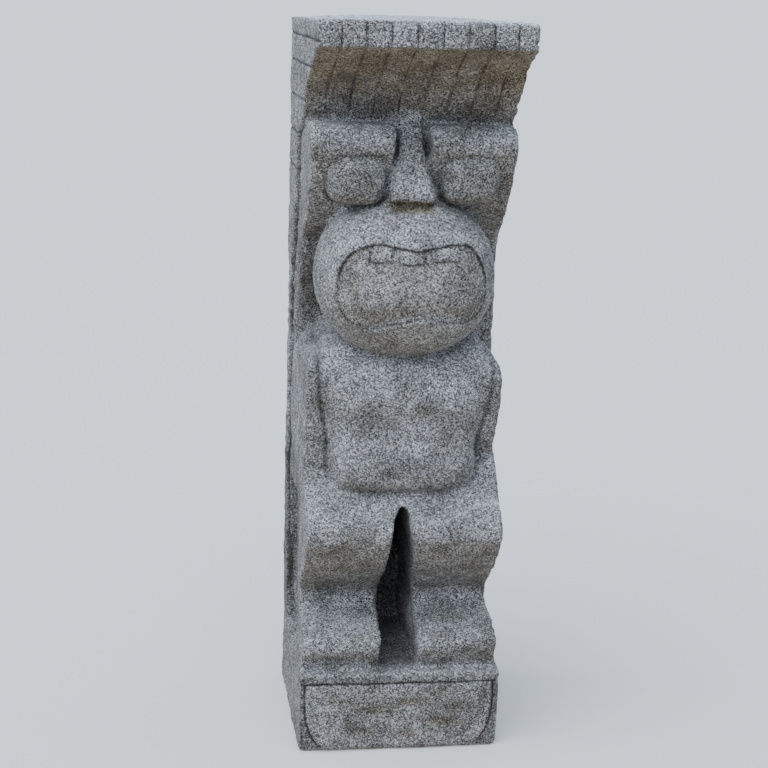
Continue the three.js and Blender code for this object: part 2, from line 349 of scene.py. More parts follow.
# Legs: the thigh slopes out to the knee, the shin falls back and the foot steps out again. The
# slot between them is open to the board.
leg = {
    "front": [(-0.02, 0.93), (0.008, 0.94), (0.043, 0.985), (0.058, 0.955), (0.069, 0.82), (0.08, 0.69),
              (0.096, 0.66), (0.132, 0.745), (0.168, 0.88), (0.2, 0.97), (0.227, 1.025), (0.25, 1.02),
              (0.275, 0.945), (0.305, 0.83), (0.345, 0.7), (0.37, 0.52)],
    "slotRight": [(-0.02, 0.205), (0, 0.205), (0.045, 0.19), (0.09, 0.22), (0.136, 0.166), (0.19, 0.13),
                  (0.242, 0.075), (0.268, 0.05), (0.28, -0.03), (0.37, -0.03)],
    "slotLeft": [(-0.02, -0.2), (0, -0.2), (0.045, -0.195), (0.085, -0.15), (0.13, -0.143),
                 (0.19, -0.115), (0.235, -0.105), (0.266, -0.056), (0.28, 0.03), (0.37, 0.03)],
    "hollow": 13,          # mm, how far in from the leg the strip behind it is cut
}


def makeLegs():
    bottom, top = float(up(-0.02)), float(up(0.37))
    front = pairsOf(leg["front"], out)
    outer = float(across(0.99))
    right = pairsOf(leg["slotRight"], across)
    left = pairsOf(leg["slotLeft"], across)
    middle, rear = float(out(0.6)), slabY + 5
    pillar(bottom, top, right, outer, front, middle, (7, 7), rows=150)
    pillar(bottom, top, -outer, left, front, middle, (7, 5), rows=150)
    pillar(bottom, top, right, outer - leg["hollow"], float(out(0.66)), rear, (2, 2), rows=150)
    pillar(bottom, top, -outer + leg["hollow"], left, float(out(0.66)), rear, (2, 2), rows=150)
    pillar(float(up(0.3)), top, -outer, outer, float(out(0.6)), rear, (2, 2), rows=4)


# One surface out of all the skins.
def joinSkins(voxel):
    start = 0
    points, faces = [], []
    for skinPoints, skinFaces in skins:
        points.append(skinPoints * mm)
        faces += [[corner + start for corner in face] for face in skinFaces]
        start += len(skinPoints)
    mesh = bpy.data.meshes.new("skins")
    mesh.from_pydata(np.concatenate(points), [], faces)
    mesh.update()
    rough = bpy.data.objects.new("skins", mesh)
    bpy.context.scene.collection.objects.link(rough)
    join = rough.modifiers.new("join", "REMESH")
    join.mode = "VOXEL"
    join.voxel_size = voxel * mm
    joined = meshOf(rough)
    bpy.data.objects.remove(rough)
    return joined


# The object's mesh with its modifiers applied.
def meshOf(shape):
    bpy.context.view_layer.update()
    seen = shape.evaluated_get(bpy.context.evaluated_depsgraph_get())
    return bpy.data.meshes.new_from_object(seen)


# The mesh's points as rows of x, y and z in millimetres.
def pointsOf(mesh):
    points = np.empty(len(mesh.vertices) * 3, np.float32)
    mesh.vertices.foreach_get("co", points)
    return points.reshape(-1, 3).astype(float) / mm


# Puts points in millimetres back into the mesh, in metres.
def setPoints(mesh, points):
    mesh.vertices.foreach_set("co", (points * mm).astype(np.float32).ravel())
    mesh.update()


# The unit vector that points out of the surface at each point.
def normalsOf(mesh):
    normals = np.empty(len(mesh.vertices) * 3, np.float32)
    mesh.vertex_normals.foreach_get("vector", normals)
    return normals.reshape(-1, 3).astype(float)


# The two ends of every edge, as two rows of point numbers.
def edgesOf(mesh):
    edges = np.empty(len(mesh.edges) * 2, np.int32)
    mesh.edges.foreach_get("vertices", edges)
    return edges.reshape(-1, 2).T


# Each round moves a value towards the mean of its neighbours by the given share of the way.
def relax(values, edges, share, rounds):
    a, b = edges
    count = len(values)
    degree = np.bincount(a, minlength=count) + np.bincount(b, minlength=count)
    columns = values.reshape(count, -1)
    for _ in range(rounds):
        total = np.stack([np.bincount(a, column[b], count) + np.bincount(b, column[a], count)
                          for column in columns.T], axis=1)
        columns = columns + share * (total / degree[:, None] - columns)
    return columns.reshape(values.shape)


latticeSize = 64
lattice = np.random.default_rng(11).random((latticeSize,) * 3) * 2 - 1


# Soft random lumps of a given size: lattice values from -1 to 1, blended by 3t²-2t³ each way.
def lumps(points, size, shift=0.0, stretch=(1, 1, 1)):
    place = points / (size * np.array(stretch)) + 17.3 + shift
    cell = np.floor(place).astype(int)
    t = place - cell
    t = t * t * (3 - 2 * t)
    total = 0
    for corner in np.ndindex(2, 2, 2):
        i, j, k = ((cell + corner) % latticeSize).T
        weight = np.prod(np.where(corner, t, 1 - t), axis=1)
        total = total + lattice[i, j, k] * weight
    return total


# Distance in a plane from each point to a broken line of points.
def distanceTo(line, places):
    best = np.full(len(places), 1e9)
    for a, b in zip(line[:-1], line[1:]):
        along = b - a
        t = np.clip((places - a) @ along / max(along @ along, 1e-9), 0, 1)
        best = np.minimum(best, np.linalg.norm(places - a - t[:, None] * along, axis=1))
    return best


# Whether each point of a plane lies inside a closed outline: an odd number of its sides are crossed.
def insideOf(outline, places):
    crossings = np.zeros(len(places), bool)
    x, z = places.T
    for (ax, az), (bx, bz) in zip(outline, np.roll(outline, -1, axis=0)):
        if az != bz:
            spans = (az > z) != (bz > z)
            crossings ^= spans & (x < ax + (z - az) * (bx - ax) / (bz - az))
    return crossings


print("forms")
makeBoard()
makeBase()
makeBrows()
makeNose()
makeMuzzle()
makeTrunk()
makeArms()
makeLegs()

wear = {
    "voxel": 2.0,
    "rimRadius": 9,
    "baseRadius": 10,
    "inset": 5,            # mm, the figure's left side from the board's
    "rounds": 6,
    "carved": 0.5,         # share of the way to the neighbours' mean, per round
    "sawn": 0.3,
    "chip": 2.2,
    "margin": 0.05,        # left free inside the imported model's box
    "mostTriangles": 196000,
}
stoneMesh = joinSkins(wear["voxel"])
edges = edgesOf(stoneMesh)
points = pointsOf(stoneMesh)
print("joined", len(points))


# The front edge of the board as seen on its sides: where board and figure meet.
seam = [(0.0, 0.235), (0.3, 0.1), (0.45, 0.12), (0.52, 0.17), (0.63, 0.2), (0.743, 0.37), (0.8, 0.425),
        (0.83, 0.45), (0.853, 0.49), (0.87, 0.6), (0.88, 0.65)]


# How far back the seam is at each height, in millimetres.
def seamAt(z):
    return through(pairsOf(seam, out), z)


# 1 on the block's sawn faces, which are the board behind the seam, the rim and the base, and 0 on
# the carved figure.
def isSawn(points):
    x, y, z = points.T
    seamY = seamAt(z)
    return np.maximum.reduce([ramp(y, seamY - 4, seamY + 4), ramp(z, up(0.885), up(0.9)),
                              1 - ramp(z, block["baseHeight"] - 2, block["baseHeight"] + 2)])


# Rounds the edges and corners of a box: what lies beyond the inner box by more than the radius is
# brought back to the radius.
def roundBox(points, corners, radius, chosen):
    least, most = (np.array(corner) for corner in corners)
    inner = np.clip(points, least + radius, most - radius)
    away = points - inner
    far = np.linalg.norm(away, axis=1)
    over = chosen & (far > radius)
    points[over] = inner[over] + away[over] * (radius / far[over])[:, None]


x, y, z = points.T
spare = 40  # mm past each face that stays sharp
rimCorners = ((-halfBoard, block["rimFrontY"], rimBottom - spare),
              (halfBoard, block["backY"] + spare, block["height"]))
roundBox(points, rimCorners, wear["rimRadius"], (z > rimBottom) & (y < block["backY"] - 8))
baseCorners = ((-halfBase, -block["backY"], 0),
               (halfBase, block["backY"] + spare, block["baseHeight"] + spare))
roundBox(points, baseCorners, wear["baseRadius"], (z < block["baseHeight"] - 10) & (y < 0))
inFront = ramp(seamAt(z) - y, -3, 2) * between(z, up(0.02), up(0.04), up(0.872), up(0.882))
points[:, 0] = np.maximum(x, wear["inset"] * inFront - halfBoard)
share = wear["carved"] + (wear["sawn"] - wear["carved"]) * isSawn(points)[:, None]
points = relax(points, edges, share, wear["rounds"])
setPoints(stoneMesh, points)
normals = normalsOf(stoneMesh)
print("worn")


# A groove of the given width whose bottom is round: 1 on its line, 0 at its edges.
def groove(distance, width):
    return np.clip(1 - (distance / (width / 2)) ** 2, 0, 1)


sawn = {
    "kerfs": 8,
    "kerfSpacing": 31.5,
    "kerfStart": 28.3,      # from the board's left side to the middle of the first line
    "kerfWidth": 3.6,
    "kerfDepth": 2.6,
    "scores": (27, 63, 110, 158, 209),  # below the top
    "scoreWidth": 4.2,
    "scoreDepth": 2.8,
    "seamWidth": 12,
    "seamDepth": 4,
    "baseLine": 0.872,      # of the base's height
    "baseLineWidth": 4,
    "baseLineDepth": 2.4,
    "arcSide": 0.935,       # of half the base's width
    "arcReach": 0.6,        # of the base's height
    "arcWidth": 0.35,
    "arcLineWidth": 4.5,
    "arcLineDepth": 2.2,
    "cornerDepth": 4.2,
    "cornerDark": 0.3,
    "bandDark": 0.22,
    "innerArcDepth": 2.0,   # a second, softer arc inside the right one
}


# Lines sawn or cut into the block, as two arrays: the depth in millimetres, and how dark each
# line is painted, as painted shade and dirt in its groove.
def sawnLines(points, normals):
    x, y, z = points.T
    facing = ramp(-normals[:, 1], 0.2, 0.5)
    rising = ramp(normals[:, 2], 0.3, 0.6)
    beside = ramp(np.abs(normals[:, 0]), 0.5, 0.8)
    broken = 1.6 * lumps(points, 26, 3.1) + 0.5 * lumps(points, 9, 8.7) + 0.4
    broken = 0.5 + 0.5 * np.clip(broken, -1, 1)
    wobble = 1.2 * lumps(points, 60, 5.5)

    first = sawn["kerfStart"] - halfBoard
    nearest = np.clip(np.round((x - first) / sawn["kerfSpacing"]), 0, sawn["kerfs"] - 1)
    toKerf = np.abs(x + wobble - first - nearest * sawn["kerfSpacing"])
    onRim = ramp(z, rimBottom - 3, rimBottom + 2) * np.maximum(facing, rising)
    onTop = rising * ramp(z, rimBottom + 15, rimBottom + 22)
    inSweep = between(z, up(0.885), up(0.905), rimBottom - 6, rimBottom) * (1 - beside)
    kerf = groove(toKerf, sawn["kerfWidth"])
    strength = np.maximum.reduce([onRim * (0.55 + 0.45 * broken), onTop * 0.55 * broken,
                                  inSweep * 0.8 * broken])
    depth = sawn["kerfDepth"] * kerf * strength
    # painted shade and dirt in the kerfs, and below in the scores, the seam, the base's lines, its darker
    # corners and band
    shadeAndDirt = kerf * strength

    fromTop = block["height"] - z + wobble
    toScore = np.min([np.abs(fromTop - place) for place in sawn["scores"]], axis=0)
    seamY = seamAt(z)
    onSide = beside * np.maximum(ramp(y, seamY - 1, seamY + 2), ramp(z, up(0.875), up(0.885)))
    score = groove(toScore, sawn["scoreWidth"]) * onSide * (0.7 + 0.3 * broken)
    depth += sawn["scoreDepth"] * score
    shadeAndDirt += score

    toSeam = np.abs(y - seamY + 1.5 * wobble)
    onSeam = ramp(np.abs(x), halfBoard - 12, halfBoard - 7)
    onSeam *= between(z, up(0.01), up(0.03), up(0.875), up(0.885))
    join = groove(toSeam, sawn["seamWidth"]) * onSeam * (0.6 + 0.4 * broken)
    depth += sawn["seamDepth"] * join
    shadeAndDirt += 0.9 * join

    tall = block["baseHeight"]
    onBase = facing * (1 - ramp(z, tall - 6, tall - 2)) * (y < 6 - block["backY"])
    lineAt = sawn["baseLine"] * tall
    line = groove(z - lineAt + 0.6 * wobble, sawn["baseLineWidth"]) * onBase
    reach, width = sawn["arcReach"] * tall, sawn["arcWidth"] * tall
    side = sawn["arcSide"] * halfBase
    fall = np.clip((reach - z) / reach, 0, 1)
    arcX = side - width * (1 - np.sqrt(1 - fall**2))
    beyond = np.abs(x) + 0.8 * wobble - arcX
    below = 1 - ramp(z, lineAt - 3, lineAt)
    deeper = 0.35 + 0.65 * (1 - ramp(z, 25, 70))
    corner = onBase * below * ramp(beyond, -0.5, 1.5)
    depth += corner * sawn["cornerDepth"] * deeper
    shadeAndDirt += sawn["cornerDark"] * corner
    arc = groove(beyond, sawn["arcLineWidth"]) * onBase * below
    innerFall = np.clip((0.66 * tall - z) / (0.56 * tall), 0, 1)
    innerX = side - 12 - 60 * (1 - np.sqrt(1 - innerFall**2))
    inner = groove(np.abs(x) - innerX + wobble, 13) * onBase * below * ramp(z, 9, 14)
    inner *= ramp(x, -60, 40)
    depth += sawn["baseLineDepth"] * line + sawn["arcLineDepth"] * arc + sawn["innerArcDepth"] * inner
    shadeAndDirt += line + arc + 0.25 * inner + sawn["bandDark"] * onBase * (1 - below)
    return depth, np.clip(shadeAndDirt, 0, 1)


mouth = {
    "outline": [(-0.725, 0.622), (-0.69, 0.66), (-0.58, 0.69), (-0.35, 0.704), (-0.16, 0.7), (0, 0.695),
                (0.16, 0.7), (0.35, 0.704), (0.54, 0.699), (0.655, 0.672), (0.71, 0.638), (0.68, 0.6),
                (0.53, 0.582), (0.3, 0.586), (0.14, 0.593), (0, 0.592), (-0.2, 0.583), (-0.45, 0.574),
                (-0.65, 0.59), (-0.725, 0.622)],
    "depth": 5.0,
    "swell": 3.2,
    "groove": 2.0,
    "grooveWidth": 5.5,
    "lip": 2.0,            # how far the lower lip stands out
    "teeth": [(-0.42, -0.24, 0.681), (-0.15, 0.07, 0.678), (0.15, 0.42, 0.682)],
}


# The mouth: sunk at its outline, swelling back towards the middle, with three teeth left standing
# at the top and a low lip below.
def mouthCarving(points, normals):
    x, y, z = points.T
    depth, shadeAndDirt = np.zeros(len(points)), np.zeros(len(points))
    near = np.flatnonzero((np.abs(x) < 118) & (z > up(0.53)) & (z < up(0.73)) & (y < out(0.8))
                          & (normals[:, 1] < -0.2))
    outline = curveThrough([(float(across(a)), float(up(h))) for a, h in mouth["outline"]], 150)
    wander = 1.1 * lumps(points[near], 14, 2.2)[:, None]
    places = points[near][:, [0, 2]] + wander
    inside = insideOf(outline, places)
    far = distanceTo(outline, places)
    upper = ramp(places[:, 1], up(0.63), up(0.665))
    lower = 1 - upper
    sink = np.where(inside, mouth["depth"] * ramp(far, -1, 4) - mouth["swell"] * ramp(far, 5, 34), 0)
    sink *= 1 - 0.1 * lower
    line = groove(far, mouth["grooveWidth"]) * (0.6 + 0.4 * upper)
    for left, right, bottom in mouth["teeth"]:
        edge = np.maximum.reduce([across(left) - places[:, 0], places[:, 0] - across(right),
                                  up(bottom) - places[:, 1]])
        within = inside * (1 - ramp(edge, -1, 1))
        sink -= within * 0.75 * sink
        line = np.maximum(line, inside * groove(edge - 1.5, 4) * (edge > -2) * 0.5)
    lip = groove(far - 4, 10) * ~inside * lower * ramp(np.abs(places[:, 0] + 15), 60, 20)
    depth[near] = sink + mouth["groove"] * line - mouth["lip"] * lip
    # painted shade and dirt along the mouth's outline and round the teeth
    shadeAndDirt[near] = line
    return depth, shadeAndDirt


# Dents and hollows: (x, z, radius in x, radius in z, depth), all on surfaces that face forward.
dents = [
    (78, 857, 14, 6, 5.2), (88, 853, 8, 5, 3.2), (60, 858, 6, 5, 1.2),
    (-50, 506, 32, 20, -3.5), (52, 504, 32, 19, -3.5), (0, 508, 9, 18, 1.5), (52, 478, 26, 6, 1.6),
    (-58, 502, 9, 5, 1.6), (48, 494, 9, 4, 2.8), (55, 486, 8, 4, -1.4), (-10, 390, 16, 6, 5.0),
    (-92, 317, 12, 8, 3.0), (-60, 300, 20, 6, 1.5), (70, 300, 18, 7, 1.6), (95, 250, 16, 6, 1.8),
    (-95, 130, 22, 7, 2.0), (-60, 136, 14, 6, 1.4), (60, 140, 20, 6, 1.3), (96, 141, 14, 5, 1.6),
    (-30, 60, 26, 10, 2.6), (20, 70, 26, 8, 3.4), (60, 40, 26, 9, 3.4), (85, 62, 10, 7, 3.4),
    (-85, 72, 18, 8, 2.6), (-50, 28, 30, 7, 2.2), (10, 22, 18, 7, 3.4), (45, 84, 16, 5, 2.4),
]


# Each dent is its depth times e to the minus square of the distance, in shares of its radii.
def dentDepth(points, normals):
    x, y, z = points.T
    facing = ramp(-normals[:, 1], 0.1, 0.5) * (y < out(0.6))
    rough = 1 + 0.5 * lumps(points, 7, 1.9)
    total = 0
    for atX, atZ, radiusX, radiusZ, depth in dents:
        total = total + depth * np.exp(-((x - atX) / radiusX) ** 2 - ((z - atZ) / radiusZ) ** 2)
    return total * facing * rough


# Broad patches of painted shade: (x, z, radius in x, radius in z, share of painted shade) on the belly's
# underside, thighs and arm.
shadePatches = [(-2, 412, 66, 15, 0.25), (72, 365, 50, 26, 0.2), (-72, 365, 50, 26, 0.09),
           (-128, 525, 26, 50, 0.17)]


# Flat in the middle and soft at the rim: the fourth powers of the two shares of the radii, summed.
def patchShade(points):
    x, y, z = points.T
    total = 0
    for atX, atZ, radiusX, radiusZ, share in shadePatches:
        total = total + share * np.exp(-((x - atX) / radiusX) ** 4 - ((z - atZ) / radiusZ) ** 4)
    return total * (y < out(0.45))


# Cuts that set the forms off: a line round each eye's sides and bottom, where a power sum of the
# shares of the eye's radii is 1, a groove down each side of the nose, a hollow under the nose, and
# a groove down each side of the trunk. Each cut is also painted darker, as painted shade and dirt.
cuts = {
    "eyeDepth": 2.2,
    "noseSideDepth": 2.4,
    "underNoseDepth": 3,
    "trunkSideDepth": 3,
}


def faceLines(points, normals):
    x, y, z = points.T
    facing = ramp(-normals[:, 1], 0.0, 0.4) * (y < out(0.7))
    depth, shadeAndDirt = np.zeros(len(points)), np.zeros(len(points))
    for side in (brow["leftEye"], brow["rightEye"]):
        a, _, c = brow["eyeRadii"]
        n = brow["eyeSquareness"]
        above = z - up(brow["eyeHeight"])
        ringAt = (np.abs((x - across(side)) / a) ** n + np.abs(above / c) ** n) ** (1 / n)
        ring = groove((ringAt - 1.03) * 34, 5) * facing
        lowSide = 0.35 + 0.65 * ramp(-above, 5, 25)
        depth = depth + cuts["eyeDepth"] * ring * lowSide
        shadeAndDirt = shadeAndDirt + 0.8 * ring * lowSide
    cut = curveThrough([(px, float(up(h))) for px, h in nose["sideCut"]], 40)
    near = np.flatnonzero((np.abs(x) < 60) & (z > up(0.76)) & (z < up(0.9)) & (y < out(0.5)))
    far = distanceTo(cut, np.stack([np.abs(x[near]), z[near]], axis=1))
    beside = groove(far, 9) * between(z[near], up(0.77), up(0.8), up(0.85), up(0.872))
    depth[near] += cuts["noseSideDepth"] * beside
    shadeAndDirt[near] += 0.35 * beside
    under = (1 - ramp(np.abs(x), 20, 30)) * between(z, up(0.747), up(0.754), up(0.763), up(0.767))
    depth = depth + cuts["underNoseDepth"] * under * facing
    shadeAndDirt = shadeAndDirt + 0.1 * under * facing
    half, _, height = np.array(trunk["stations"]).T
    order = np.argsort(height)
    trunkSide = np.interp(z, up(height[order]), across(half[order])) + 2
    inner = groove(np.abs(x - trunk["lean"]) - trunkSide, 9)
    inner *= between(z, up(0.3), up(0.33), up(0.5), up(0.53))
    inner *= (y < out(0.45)) & (y > out(0.97))
    depth = depth + cuts["trunkSideDepth"] * inner
    shadeAndDirt = shadeAndDirt + 0.55 * inner
    return depth, np.clip(shadeAndDirt, 0, 1)


# The stone's own roughness: slow swells, pecked hollows, and fine vertical tool marks on the sides.
relief = {
    "swell": 1.4,
    "peck": 0.75,
    "grit": 0.4,
    "marks": 0.8,
    "hollow": 2.6,
}


# The sum of the lumps of each size times their heights in millimetres.
def roughness(points, normals):
    x, y, z = points.T
    flatBack = ramp(y, block["backY"] - 6, block["backY"] - 2)
    flatUnder = 1 - ramp(z, 0.5, 4)
    calm = 1 - 0.7 * np.maximum(flatBack, flatUnder)
    swell = lumps(points, 55, 0.3) + 0.5 * lumps(points, 27, 4.4)
    peck = lumps(points, 11, 6.1) + 0.7 * lumps(points, 6, 9.3)
    grit = lumps(points, 3.2, 2.8)
    beside = ramp(np.abs(normals[:, 0]), 0.6, 0.85)
    marks = lumps(points, 4.0, 7.7, stretch=(1, 1, 12)) * beside
    leftHollow = ((x < -95) & (y > out(0.62)) & (z > up(0.5)) & (z < up(0.66))) * 1.0
    rubble = np.abs(lumps(points, 16, 3.9)) + 0.5 * lumps(points, 8, 1.1)
    soft = relief["swell"] * swell + relief["peck"] * peck + relief["grit"] * grit
    return soft * calm + relief["marks"] * marks + relief["hollow"] * leftHollow * rubble


lineDepth, _ = sawnLines(points, normals)
mouthDepth, _ = mouthCarving(points, normals)
faceDepth, _ = faceLines(points, normals)
carved = lineDepth + mouthDepth + faceDepth + dentDepth(points, normals)
worn = relax(points, edges, 0.5, 12)
bulge = relax(np.sum((points - worn) * normals, axis=1), edges, 0.5, 3)
chance = lumps(points, 13, 5.2) + 0.6 * lumps(points, 6, 0.9)
chips = wear["chip"] * ramp(bulge, 0.15, 0.7) * ramp(chance, 0.15, 0.75)
depth = carved + chips + roughness(points, normals)
points = points - depth[:, None] * normals
least, most = low + wear["margin"], high - wear["margin"]
points = np.clip(points, least, most)
setPoints(stoneMesh, points)
print("carved")

statue = bpy.data.objects.new("tikiStone", stoneMesh)
bpy.context.scene.collection.objects.link(statue)
thin = statue.modifiers.new("thin", "DECIMATE")
thin.ratio = min(1, wear["mostTriangles"] / (2 * len(stoneMesh.polygons)))
fewer = meshOf(statue)
statue.modifiers.clear()
statue.data = fewer
fewer.shade_smooth()
print("thinned", len(fewer.polygons))
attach(statue, "root")
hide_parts("tiki_statue")

# How much of the dirt with painted shade and of the brown stain with painted shade each place
# gets, and how much paler others are, as painted light and bleaching.
tint = {
    "dirtAndShade": {"pits": 0.15, "hollow": 0.35, "strip": 0.4, "splashAndLowShade": 0.16, "eyes": 0.25,
             "mouth": 0.07, "slot": 0.35},
    "stainAndShade": {"pits": 0.6, "splashAndLowShade": 0.12, "eyes": 0.25, "mouth": 0.3},
    "undersideShade": 0.35,
    "paleStreak": 0.9,
    "lit": 0.06,
    "litAbove": 0.14,
    "top": 0.8,
}


# What the material reads at each point, as sums of masks times their shares: painted shade and dirt
# in lines and hollows, painted shade tinted brown under ledges with some brown stain, and painted
# light and bleaching above.
def stoneTints(points, normals):
    x, y, z = points.T
    _, lineShadeAndDirt = sawnLines(points, normals)
    mouthSunk, mouthShadeAndDirt = mouthCarving(points, normals)
    _, faceShadeAndDirt = faceLines(points, normals)
    inSweep = between(z, up(0.88), up(0.9), rimBottom - 4, rimBottom + 2) * (y < slabY)
    inSweep *= 1 - ramp(np.abs(normals[:, 0]), 0.4, 0.8)
    underNose = (1 - ramp(np.abs(x), 24, 34)) * (y < out(0.8))
    underNose *= between(z, up(0.745), up(0.752), up(0.762), up(0.768))
    patchy = 0.8 + 0.3 * lumps(points, 60, 2.6) + 0.25 * lumps(points, 14, 6.6)
    highSweep = inSweep * (0.25 + 0.75 * ramp(z, up(0.915), up(0.975)))
    underside = ramp(-normals[:, 2], 0.05, 0.7) * (z > 20)
    # painted shade, tinted brown: on faces turned down, in the hollow under the rim, most near its top,
    # and under the nose
    shadeUnderLedges = np.clip((tint["undersideShade"] * underside + highSweep) * patchy + underNose, 0, 1)

    # painted shade and dirt in the hollow left of the muzzle, in the strip between each leg and the
    # board, and in the slot between the legs
    hollow = (1 - ramp(x, -104, -92)) * between(y, out(0.66), out(0.6), slabY + 14, slabY + 20)
    hollow *= between(z, up(0.49), up(0.53), up(0.68), up(0.75))
    strip = ramp(np.abs(x), 118, 126) * ramp(y, out(0.64), out(0.58))
    strip *= between(z, up(-0.01), up(0.02), up(0.3), up(0.35))
    toEye = np.minimum(np.abs(x - across(brow["leftEye"])), np.abs(x - across(brow["rightEye"])))
    eyes = np.exp(-(toEye / 38) ** 4 - ((z - up(brow["eyeHeight"])) / 32) ** 4) * (y < out(0.8))
    slot = (1 - ramp(np.abs(x), 22, 28)) * ramp(y, out(0.95), out(0.8))
    slot *= between(z, 100, 110, up(0.2), up(0.3))
    masks = {
        "pits": np.clip(dentDepth(points, normals) / 3, 0, 1) * (1 - 0.85 * ramp(z, 110, 120)),
        "hollow": hollow,
        "strip": strip,
        # darker and browner towards the bottom: painted shade and splashed dirt
        "splashAndLowShade": 1 - ramp(z, 60, 470),
        "eyes": eyes,
        # painted shade and dirt in the sunk mouth
        "mouth": ramp(mouthSunk, 0.3, 3),
        "slot": slot,
    }
    dirtAndShade, stainAndShade = (sum(share * masks[name] for name, share in tint[layer].items())
                   for layer in ("dirtAndShade", "stainAndShade"))

    # a paler streak along an edge over the right eye
    chipX = x - 80 - 3 * lumps(points, 9)
    chipZ = z - 831 - 2 * lumps(points, 12)
    paleStreak = np.exp(-(chipX / 13) ** 4 - (chipZ / 2.2) ** 2)  # an edge over the right eye
    # painted light: faces turned up are paler, more so higher up, and the rim's flat top much paler, as
    # painted light and bleaching
    lit = ramp(normals[:, 2], -0.1, 0.6)
    onTop = ramp(normals[:, 2], 0.6, 0.95) * ramp(z, up(0.9), rimBottom)
    return {
        "dirtAndShade": np.clip(lineShadeAndDirt + mouthShadeAndDirt + faceShadeAndDirt + patchShade(points) + dirtAndShade, 0, 1),
        "stainAndShade": np.clip(shadeUnderLedges + stainAndShade, 0, 1),
        "bleachAndLight": (tint["paleStreak"] * paleStreak + tint["lit"] * lit + tint["top"] * onTop
                   + tint["litAbove"] * lit * ramp(z, up(0.55), up(0.75))),
    }


points = np.clip(pointsOf(fewer), least, most)
setPoints(fewer, points)
softNormals = relax(normalsOf(fewer), edgesOf(fewer), 0.5, 8)
layers = stoneTints(points, softNormals)
for name, values in layers.items():
    layer = fewer.attributes.new(name, "FLOAT", "POINT")
    layer.data.foreach_set("value", values.astype(np.float32))
print("tinted")


# Linear colour from an sRGB hex code: ((c + 0.055) / 1.055) to the power 2.4, or c / 12.92 when dark.
def linear(code):
    parts = [int(code[i:i + 2], 16) / 255 for i in (1, 3, 5)]
    return [c / 12.92 if c <= 0.04045 else ((c + 0.055) / 1.055) ** 2.4 for c in parts] + [1.0]


# Adds a node: keywords set its properties, inputs are values or other nodes' outputs, and stops
# are a colour ramp's (place, hex code) pairs in rising order.
def addNode(tree, kind, inputs=None, stops=None, **settings):
    made = tree.nodes.new(kind)
    for name, value in settings.items():
        setattr(made, name, value)
    for key, value in (inputs or {}).items():
        if isinstance(value, bpy.types.NodeSocket):
            tree.links.new(value, made.inputs[key])
        else:
            made.inputs[key].default_value = value
    for i, (place, code) in enumerate(stops or []):
        marks = made.color_ramp.elements
        mark = marks[i] if i < 2 else marks.new(place)
        mark.position, mark.color = place, linear(code)
    return made


# Andesite, a grey lava stone, pecked by hand: a dense pepper and salt of dark and pale crystals in
# a mid grey ground, matt, with open pores.
stone = {
    "grain": 1.35,         # mm, as are the five below; the real one's finest crystals wouldn't show
    "fineGrain": 0.85,     # in the render, so all are drawn as coarse as they need to show
    "sparkle": 1.7,
    "inclusion": 9,
    "cloud": 45,
    "pore": 1.3,
    "fineShare": 0.4,      # of the fine crystals in the mix
    "sparkling": 0.05,     # share of crystals that shine white
    "included": 0.09,      # share of large cells that hold a pale crystal
    "roughness": 0.93,
    "bump": 0.8,
    "bumpHeight": 0.7,     # mm
}


